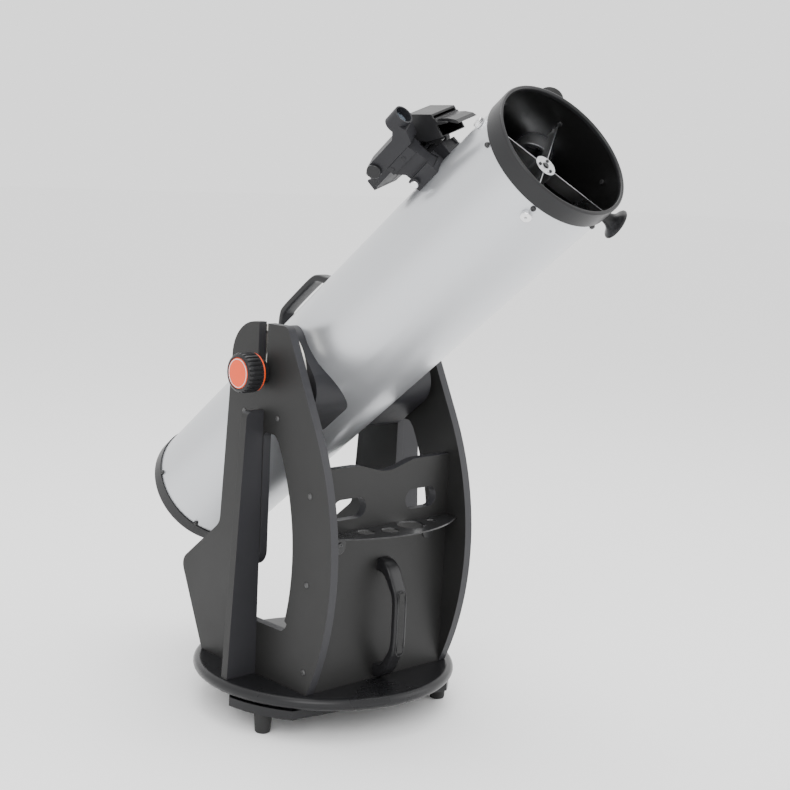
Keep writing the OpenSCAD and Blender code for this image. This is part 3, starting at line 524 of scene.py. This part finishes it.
class Maker:
    """Turns outlines and paths into finished pieces."""

    @staticmethod
    def piece(name: str, bm: bmesh.types.BMesh, finish: Finish, body: str, slot: str,
              place: Matrix | None = None, stands_for: Iterable[str] = (), smooth: float = 35.0) -> bpy.types.Object:
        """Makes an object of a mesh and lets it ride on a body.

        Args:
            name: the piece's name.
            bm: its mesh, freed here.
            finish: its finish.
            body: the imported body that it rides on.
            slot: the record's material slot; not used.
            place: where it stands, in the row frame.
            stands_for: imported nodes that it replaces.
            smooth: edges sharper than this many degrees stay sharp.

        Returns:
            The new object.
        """
        bmesh.ops.remove_doubles(bm, verts=bm.verts, dist=1e-7)
        bmesh.ops.recalc_face_normals(bm, faces=bm.faces)
        if place is not None:
            bmesh.ops.transform(bm, matrix=place, verts=bm.verts)
        limit = math.radians(smooth)
        for face in bm.faces:
            face.smooth = True
        for edge in bm.edges:
            edge.smooth = len(edge.link_faces) == 2 and edge.calc_face_angle(0.0) < limit
        mesh = bpy.data.meshes.new(name)
        bm.to_mesh(mesh)
        bm.free()
        mesh.materials.append(finish.material())
        obj = bpy.data.objects.new(name, mesh)
        bpy.context.scene.collection.objects.link(obj)
        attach(obj, body)
        if stands_for:
            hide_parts(*stands_for)
        LOG.info("piece %s: %d faces on %s", name, len(mesh.polygons), body)
        return obj

    @staticmethod
    def skin(bm: bmesh.types.BMesh, rings: Sequence[Sequence[Vector]], closed: bool = False, cap: bool = True) -> None:
        """Skins rings of equal count, one after another.

        Args:
            bm: the mesh to add to.
            rings: loops of points.
            closed: joins the last ring to the first.
            cap: closes both ends with a face.
        """
        loops = [[bm.verts.new(p) for p in ring] for ring in rings]
        count = len(loops[0])
        pairs = list(zip(loops, loops[1:])) + ([(loops[-1], loops[0])] if closed else [])
        for a, b in pairs:
            for i in range(count):
                j = (i + 1) % count
                bm.faces.new((a[i], a[j], b[j], b[i]))
        if cap and not closed:
            bm.faces.new(list(reversed(loops[0])))
            bm.faces.new(loops[-1])

    @staticmethod
    def lathe(profile: Sequence[Point], steps: int = 72,
              shape: Callable[[float, float, float], float] | None = None) -> bmesh.types.BMesh:
        """Turns a profile about Z.

        Args:
            profile: (radius, height) points; a radius of zero ends in a point.
            steps: how many sides.
            shape: changes a radius from (angle, radius, height), such as for ribs.

        Returns:
            The mesh.
        """
        bm = bmesh.new()
        rings = []
        for r, z in profile:
            if r <= 1e-9:
                rings.append([bm.verts.new((0, 0, z))])
                continue
            ring = []
            for i in range(steps):
                a = 2 * math.pi * i / steps
                q = shape(a, r, z) if shape else r
                ring.append(bm.verts.new((q * math.cos(a), q * math.sin(a), z)))
            rings.append(ring)
        for a, b in zip(rings, rings[1:]):
            for i in range(steps):
                j = (i + 1) % steps
                quad = [a[i % len(a)], a[j % len(a)], b[j % len(b)], b[i % len(b)]]
                quad = [v for k, v in enumerate(quad) if v not in quad[:k]]
                if len(quad) > 2:
                    bm.faces.new(quad)
        return bm

    @staticmethod
    def slab(outline: Sequence[Point], low: float, high: float, round_: float = 0.0,
             segments: int = 2) -> bmesh.types.BMesh:
        """Extrudes an outline along Z and rounds its long edges.

        Args:
            outline: points in X and Y, counter-clockwise.
            low: lower height.
            high: upper height.
            round_: radius of the rounding, in metres.
            segments: steps of the rounding.

        Returns:
            The mesh.
        """
        bm = bmesh.new()
        Maker.skin(bm, [[Vector((x, y, z)) for x, y in outline] for z in (low, high)])
        if round_ > 0:
            edges = [e for e in bm.edges if e.calc_face_angle(0.0) > 0.5]
            bmesh.ops.bevel(bm, geom=edges, offset=round_, segments=segments, affect="EDGES", profile=0.5)
        return bm

    @staticmethod
    def block(low: Sequence[float], high: Sequence[float], round_: float = 0.0) -> bmesh.types.BMesh:
        """A box with rounded edges.

        Args:
            low: its lowest corner.
            high: its highest corner.
            round_: radius of the rounding, in metres.

        Returns:
            The mesh.
        """
        (x0, y0, z0), (x1, y1, z1) = low, high
        return Maker.slab([(x0, y0), (x1, y0), (x1, y1), (x0, y1)], z0, z1, round_)

    @staticmethod
    def sweep(path: Sequence[Vector], side: Vector, wide: Sequence[float], thick: Sequence[float],
              power: float = 4.0, around: int = 28) -> bmesh.types.BMesh:
        """Sweeps a soft-cornered section along a flat path.

        Args:
            path: the middle line.
            side: the direction across the path's plane.
            wide: width at each point, along side.
            thick: thickness at each point, in the path's plane.
            power: how square the section is; 2 is an ellipse.
            around: points round the section.

        Returns:
            The mesh.
        """
        bm = bmesh.new()
        rings = []
        for i, p in enumerate(path):
            ahead = (path[min(i + 1, len(path) - 1)] - path[max(i - 1, 0)]).normalized()
            out = side.cross(ahead).normalized()
            ring = []
            for k in range(around):
                a = 2 * math.pi * k / around
                c, s = math.cos(a), math.sin(a)
                u = math.copysign(abs(c) ** (2 / power), c) * wide[i] / 2
                w = math.copysign(abs(s) ** (2 / power), s) * thick[i] / 2
                ring.append(p + side * u + out * w)
            rings.append(ring)
        Maker.skin(bm, rings)
        return bm


    @staticmethod
    def tube_loop(outline: Sequence[Point], radius: float, around: int = 10) -> bmesh.types.BMesh:
        """Runs a thin round rim along a closed flat outline.

        Args:
            outline: points in X and Y.
            radius: radius of the rim.
            around: points round the rim.

        Returns:
            The mesh.
        """
        bm = bmesh.new()
        rings = []
        count = len(outline)
        for i, (x, y) in enumerate(outline):
            before, after = Vector(outline[i - 1]), Vector(outline[(i + 1) % count])
            ahead = (after - before).normalized()
            out = Vector((ahead.y, -ahead.x, 0.0))
            turns = [2 * math.pi * k / around for k in range(around)]
            rings.append([Vector((x, y, 0)) + out * (radius * math.cos(a)) + Vector((0, 0, radius * math.sin(a)))
                          for a in turns])
        Maker.skin(bm, rings, closed=True)
        return bm


def smooth_path(points: Sequence[tuple[float, ...]], steps: int) -> list[tuple[float, ...]]:
    """Runs a Catmull-Rom curve through points.

    Args:
        points: the points, each with any count of values.
        steps: how many samples between two points.

    Returns:
        The samples, ends included.
    """
    pts = [points[0], *points, points[-1]]
    out = []
    for i in range(1, len(pts) - 2):
        p0, p1, p2, p3 = pts[i - 1:i + 3]
        for k in range(steps):
            t = k / steps
            out.append(tuple(
                0.5 * (2 * b + (c - a) * t + (2 * a - 5 * b + 4 * c - d) * t * t + (3 * b - a - 3 * c + d) * t ** 3)
                for a, b, c, d in zip(p0, p1, p2, p3)))
    out.append(tuple(points[-1]))
    return out


def arc(cx: float, cy: float, r: float, a0: float, a1: float, n: int) -> list[Point]:
    """Points of an arc.

    Args:
        cx: centre's first coordinate.
        cy: centre's second coordinate.
        r: radius.
        a0: first angle in degrees.
        a1: last angle in degrees.
        n: how many steps.

    Returns:
        n + 1 points.
    """
    turns = [math.radians(a0 + (a1 - a0) * i / n) for i in range(n + 1)]
    return [(cx + r * math.cos(a), cy + r * math.sin(a)) for a in turns]


def stadium(w: float, h: float, n: int = 10) -> list[Point]:
    """A slot's outline with round ends.

    Args:
        w: whole width.
        h: whole height, the shorter side.
        n: steps of each end.

    Returns:
        The outline, counter-clockwise.
    """
    c = w / 2 - h / 2
    return arc(c, 0, h / 2, -90, 90, n) + arc(-c, 0, h / 2, 90, 270, n)


# ---------------------------------------------------------------- sub-assemblies

@dataclass
class TensionKnob:
    """Ribbed altitude knob with an orange ring and cap."""

    side: int
    ribs: int = 26
    radius: float = 0.0345
    groove: float = 0.0022
    cap: float = 0.0266

    def place(self) -> Matrix:
        """Where the knob's inner face is: Z points outward along the stud."""
        name = "tension_left" if self.side < 0 else "tension_right"
        turn = Matrix.Rotation(math.radians(90 * self.side), 4, "Y")
        m = Matrix.Translation(Vector(joint(name)["pos_m"])) @ turn
        return m

    def rib(self, a: float, r: float, z: float) -> float:
        """Cuts the grooves between the ribs.

        Args:
            a: angle round the knob.
            r: radius without grooves.
            z: height.

        Returns:
            The radius with them.
        """
        if r < self.radius - 0.0035 or not 0.0225 < z < 0.0485:
            return r
        wave = math.cos(a * self.ribs)
        return r - self.groove * (0.5 - 0.5 * math.tanh(4.0 * (wave + 0.35)))

    def build(self) -> None:
        """Makes the body, the ring, the cap and the cap's thin rim."""
        word = "left" if self.side < 0 else "right"
        body = f"tension_knob_{word}"
        r = self.radius
        profile = [(0.0057, 0.0), (0.0200, 0.0), (0.0220, 0.0015), (0.0220, 0.0150), (0.0232, 0.0162), (0.0300, 0.0168),
                   (0.0300, 0.0206), (r - 0.0012, 0.0212), (r - 0.0003, 0.0218), (r, 0.0226), (r, 0.0232), (r, 0.0300),
                   (r, 0.0400), (r, 0.0450), (r - 0.0010, 0.0484), (r - 0.0026, 0.0505), (r - 0.0050, 0.0519),
                   (r - 0.0066, 0.0522), (self.cap + 0.0006, 0.0518), (self.cap + 0.0003, 0.0508), (self.cap, 0.0498),
                   (0.0057, 0.0498), (0.0057, 0.0)]
        Maker.piece(f"{body}_grip", Maker.lathe(profile, 312, self.rib), SATIN, body, "satin_black", self.place(),
                    (f"knob_{word}",), smooth=28)
        ring = [(0.0298, 0.0172), (0.0326, 0.0174), (0.0331, 0.0180), (0.0331, 0.0198), (0.0326, 0.0204),
                (0.0298, 0.0206), (0.0298, 0.0172)]
        Maker.piece(f"{body}_ring", Maker.lathe(ring, 96), ORANGE, body, "orange", self.place(), (f"knob_trim_{word}",))
        c = self.cap
        cap = [(0.0, 0.0524), (c * 0.55, 0.0523), (c - 0.0034, 0.0521), (c - 0.0030, 0.0521), (c - 0.0006, 0.0518),
               (c - 0.0002, 0.0512), (c - 0.0002, 0.0500), (0.0, 0.0500)]
        Maker.piece(f"{body}_cap", Maker.lathe(cap, 96), ORANGE, body, "orange", self.place())
        rim = [(c - 0.0034, 0.0518), (c - 0.0032, 0.0525), (c - 0.0022, 0.0526), (c - 0.0018, 0.0519),
               (c - 0.0034, 0.0518)]
        Maker.piece(f"{body}_rim", Maker.lathe(rim, 96), ALLOY, body, "bright_metal", self.place())


@dataclass
class BoardHandle:
    """Bow handle on the front board, with a sunk grip pad."""

    width: float = 0.028
    feet: float = 0.004

    def build(self) -> None:
        """Sweeps the bow and lays in the grip pad."""
        low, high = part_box("carry_handle")
        face = high.y
        mid = (low.z + high.z) / 2
        deep = high.y - low.y
        half = (high.z - low.z) / 2
        spots = [(0.0, -half + 0.012, 0.024), (-0.012, -half + 0.014, 0.0225), (-0.024, -half + 0.023, 0.0175),
                 (-deep + 0.018, -half + 0.040, 0.0145), (-deep + 0.0085, -half + 0.058, 0.0125),
                 (-deep + 0.0056, -half + 0.080, 0.0112)]
        line = spots + [(-deep + 0.0056, 0.0, 0.0112)] + [(y, -z, t) for y, z, t in reversed(spots)]
        points = smooth_path(line, 9)
        path = [Vector((0, face + y, mid + z)) for y, z, _ in points]
        wide = [self.width * (1.0 if abs(z) < half - 0.03 else 1.06) for _, z, _ in points]
        Maker.piece("carry_handle_bow", Maker.sweep(path, Vector((1, 0, 0)), wide, [t for _, _, t in points], 5.0, 36),
                    SATIN, "rocker", "satin_black", None, ("carry_handle",))
        place = Matrix.Translation((0, low.y + 0.00005, mid)) @ Matrix.Rotation(math.radians(90), 4, "X")
        place = place @ Matrix.Rotation(math.radians(90), 4, "Z")
        rim = Maker.tube_loop(stadium(0.118, 0.0185, 12), 0.0009)
        Maker.piece("carry_handle_rim", rim, SATIN, "rocker", "satin_black", place)
        Maker.piece("carry_handle_pad", self.pad(), RUBBER, "rocker", "soft_black", place)

    def pad(self) -> bmesh.types.BMesh:
        """A strip of small raised studs, staggered in rows.

        Returns:
            The mesh.
        """
        bm = bmesh.new()
        nx, ny = 120, 18
        w, h = 0.108, 0.0125
        grid = []
        for i in range(nx + 1):
            row = []
            for j in range(ny + 1):
                x, y = (i / nx - 0.5) * w, (j / ny - 0.5) * h
                edge = min(1.0, (w / 2 - abs(x)) / 0.001, (h / 2 - abs(y)) / 0.001)
                stud = max(0.0, math.sin(x * 2 * math.pi / 0.0054 + y * 2 * math.pi / 0.0125)
                           * math.cos(y * 2 * math.pi / 0.0065))
                row.append(bm.verts.new((x, y, 0.0006 * min(edge, 0.35 + 0.65 * stud))))
            grid.append(row)
        for i in range(nx):
            for j in range(ny):
                bm.faces.new((grid[i][j], grid[i + 1][j], grid[i + 1][j + 1], grid[i][j + 1]))
        return bm


@dataclass
class TopHandle:
    """Carry handle on top of the tube."""

    width: float = 0.028

    def build(self) -> None:
        """Sweeps the bow along the tube."""
        spots = [(-0.107, 0.1225, 0.009), (-0.096, 0.1245, 0.012), (-0.082, 0.134, 0.013), (-0.066, 0.149, 0.013),
                 (-0.052, 0.1545, 0.013), (-0.005, 0.1555, 0.0125), (0.042, 0.1545, 0.013), (0.058, 0.149, 0.013),
                 (0.074, 0.134, 0.013), (0.088, 0.1245, 0.012), (0.099, 0.1225, 0.009)]
        points = smooth_path(spots, 8)
        path = [TUBE.pivot + TUBE.along * s + TUBE.up * n for s, n, _ in points]
        wide = [self.width] * len(points)
        Maker.piece("top_handle_bow", Maker.sweep(path, TUBE.across, wide, [t for _, _, t in points], 4.5, 36),
                    SATIN, "tube_assembly", "satin_black", None, ("tube_handle",))


@dataclass
class SpiderFace:
    """Bright front of the spider's hub, with its screws."""

    radius: float = 0.018
    station: float = 0.5972

    def build(self) -> None:
        """Makes the centre screw and three screws."""
        place = Matrix.Translation(TUBE.pivot + TUBE.along * self.station) @ Matrix((
            TUBE.across, TUBE.up, TUBE.along * -1)).transposed().to_4x4()
        flip = place @ Matrix.Rotation(math.pi, 4, "X")
        centre = [(0.0, 0.0026), (0.0032, 0.0026), (0.0040, 0.0020), (0.0040, -0.003), (0.0, -0.003)]
        Maker.piece("hub_screw", Maker.lathe(centre, 40), DARK_STEEL, "tube_assembly", "zinc_steel", flip)
        for k in range(3):
            a = math.radians(15 + 120 * k)
            at = flip @ Matrix.Translation((0.0115 * math.sin(a), 0.0115 * math.cos(a), 0))
            head = [(0.0, 0.0008), (0.0012, 0.0008), (0.0014, 0.0016), (0.0024, 0.0016), (0.0027, 0.0011),
                    (0.0027, -0.0004), (0.0, -0.0004)]
            Maker.piece(f"hub_set_screw_{k + 1}", Maker.lathe(head, 32), ENAMEL, "tube_assembly", "black_metal", at)


class Studio:
    """Camera, pale floor, world and lamps."""

    place: Vector = Vector((-1.7264, -1.9891, 0.9779))
    ahead: Vector = Vector((0.67778, 0.71892, -0.15418))
    right: Vector = Vector((0.7318, -0.6799, 0.0470))
    focal: float = 1484.69 / 790 * 36

    def camera(self) -> None:
        """Stands the camera where the whole instrument is seen from its front left."""
        data = bpy.data.cameras.new("camera")
        cam = bpy.data.objects.new("camera", data)
        bpy.context.scene.collection.objects.link(cam)
        ahead = self.ahead.normalized()
        right = (self.right - ahead * self.right.dot(ahead)).normalized()
        up = right.cross(ahead)
        m = Matrix((right, up, -ahead)).transposed().to_4x4()
        m.translation = self.place
        cam.matrix_world = m
        data.lens, data.sensor_width = self.focal, 36.0
        data.clip_start, data.clip_end = 0.05, 60.0
        bpy.context.scene.camera = cam

    def lamp(self, name: str, place: Sequence[float], aim: Sequence[float], size: float, power: float) -> None:
        """Adds one soft square lamp.

        Args:
            name: the lamp's name.
            place: where it hangs, in metres.
            aim: the point it faces.
            size: its side, in metres.
            power: its power, in watts.
        """
        data = bpy.data.lights.new(name, "AREA")
        data.size, data.energy = size, power
        lamp = bpy.data.objects.new(name, data)
        lamp.location = place
        lamp.rotation_euler = (Vector(aim) - Vector(place)).to_track_quat("-Z", "Y").to_euler()
        bpy.context.scene.collection.objects.link(lamp)

    def build(self) -> None:
        """Makes the floor, the world and the lamps."""
        self.camera()
        me = bpy.data.meshes.new("floor")
        me.from_pydata([(-30, -30, 0), (30, -30, 0), (30, 30, 0), (-30, 30, 0)], [], [(0, 1, 2, 3)])
        floor = bpy.data.objects.new("floor", me)
        bpy.context.scene.collection.objects.link(floor)
        mat = bpy.data.materials.new("pale_floor")
        mat.use_nodes = True
        mat.node_tree.nodes["Principled BSDF"].inputs["Base Color"].default_value = (0.97, 0.97, 0.97, 1)
        mat.node_tree.nodes["Principled BSDF"].inputs["Roughness"].default_value = 0.85
        me.materials.append(mat)
        world = bpy.data.worlds.new("studio")
        world.use_nodes = True
        world.node_tree.nodes["Background"].inputs["Color"].default_value = (1.0, 1.0, 1.0, 1)
        world.node_tree.nodes["Background"].inputs["Strength"].default_value = 1.6
        bpy.context.scene.world = world
        self.lamp("key", (-2.6, -2.2, 2.6), (0, 0, 0.6), 2.2, 70)
        self.lamp("fill", (2.6, -2.6, 1.6), (0, 0, 0.6), 2.4, 30)
        self.lamp("top", (0.2, 0.4, 3.4), (0, 0, 0.5), 2.6, 60)


def main() -> None:
    """Builds the studio, the finishes and every detailed piece, in order."""
    logging.basicConfig(level=logging.INFO, format="%(message)s")
    Studio().build()
    dress_nodes()
    for part in (TensionKnob(-1), TensionKnob(1), BoardHandle(), TopHandle(), SpiderFace()):
        part.build()
        LOG.info("built %s", type(part).__name__)


if __name__ == "__main__":
    main()
